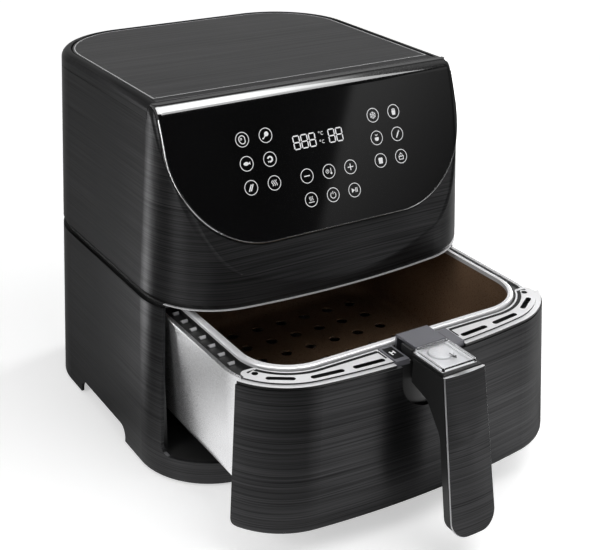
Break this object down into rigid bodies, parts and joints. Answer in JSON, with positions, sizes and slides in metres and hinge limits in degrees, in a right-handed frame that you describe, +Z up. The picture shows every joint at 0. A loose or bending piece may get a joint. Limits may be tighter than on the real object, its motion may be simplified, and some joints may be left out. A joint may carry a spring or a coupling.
{
  "type": "air fryer",
  "caption": "Countertop air fryer with a pull-out drawer, lift-out basket on a guarded release handle, sloped touch fascia and an internal fan heater; shown part open.",
  "frame": {"origin": "on the floor, in the middle of the housing's footprint", "axes": "+X to the right of someone facing the front, -Y out of the front where the drawer opens, +Z up"},
  "size_m": [0.3138, 0.4651, 0.302],
  "materials": {
    "dark_steel": "brushed dark steel",
    "top_glass": "brushed grey, satin",
    "black_gloss": "glossy black",
    "black_plastic": "fine matt black",
    "pan_steel": "satin steel",
    "silver": "satin silver",
    "grey": "satin grey",
    "non_stick": "dark non-stick coat",
    "clear": "clear, glossy",
    "rubber": "matt",
    "zinc": "bright zinc",
    "sheet": "mill finish",
    "heater": "heat-darkened",
    "motor": "satin",
    "board": "lacquered board",
    "magnet": "sintered"
  },
  "bodies": {
    "housing": {"top_panel": "top_glass", "top_cover": "dark_steel", "upper_shell": "dark_steel", "control_panel": "black_gloss", "control_board": "board", "display_module": "black_plastic", "lower_shell": "dark_steel", "seam_band": "black_plastic", "front_edge_strip": "silver", "cord_gland": "black_plastic", "base_plate": "black_plastic", "rubber_feet": "rubber", "base_screws": "zinc", "bay_liner": "black_plastic", "bay_floor": "black_plastic", "drawer_rails": "black_plastic", "drawer_sensor": "black_plastic", "head_plate": "sheet", "chamber_dome": "sheet", "heating_element": "heater", "element_guard": "zinc", "heat_shield": "sheet", "temperature_sensor": "zinc", "thermal_cutout": "black_plastic", "motor_bracket": "sheet", "motor": "motor", "motor_screws": "zinc", "board_tray": "black_plastic", "power_board": "board", "exhaust_duct": "sheet", "air_outlet_grille": "black_plastic"},
    "fan_rotor": {"motor_shaft": "zinc", "convection_fan": "sheet", "cooling_fan": "black_plastic"},
    "drawer": {"drawer_pan": "pan_steel", "drawer_front": "dark_steel", "front_screws": "zinc", "drawer_frame": "black_plastic", "trim_left": "silver", "trim_right": "silver", "handle_recess": "black_plastic", "handle_dock": "grey", "sensor_magnet": "magnet"},
    "basket_unit": {"basket": "non_stick", "basket_rim": "pan_steel", "handle_bracket": "grey", "bracket_rivets": "zinc", "handle_core": "black_plastic", "handle_cover": "dark_steel", "handle_bezel": "silver", "latch_pin": "zinc", "button_spring": "zinc"},
    "release": {"release_button": "silver"},
    "latch": {"latch_lever": "black_plastic"},
    "guard": {"button_guard": "clear"}
  },
  "joints": [
    {"name": "drawer_slide", "type": "slide", "parent": "housing", "child": "drawer", "axis": [0, -1, 0], "range_m": [-0.11, 0.145]},
    {"name": "basket_lift", "type": "slide", "parent": "drawer", "child": "basket_unit", "axis": [0, 0, 1], "range_m": [0, 0.006]},
    {"name": "fan_spin", "type": "hinge", "parent": "housing", "child": "fan_rotor", "pos_m": [0, 0.003, 0.22], "axis": [0, 0, 1], "continuous": true},
    {"name": "button_press", "type": "slide", "parent": "basket_unit", "child": "release", "axis": [0, 0, -1], "range_m": [0, 0.002], "stiffness_N_per_m": 900, "springref_m": -0.003, "deforming": ["button_spring"]},
    {"name": "latch_turn", "type": "hinge", "parent": "basket_unit", "child": "latch", "pos_m": [0, -0.276, 0.134], "axis": [-1, 0, 0], "range_deg": [0, 6.75]},
    {"name": "guard_slide", "type": "slide", "parent": "basket_unit", "child": "guard", "axis": [0, -1, 0], "range_m": [0, 0.018]}
  ],
  "couplings": [
    {"joint": "latch_turn", "follows": "button_press", "rad_per_m": 58.82}
  ]
}
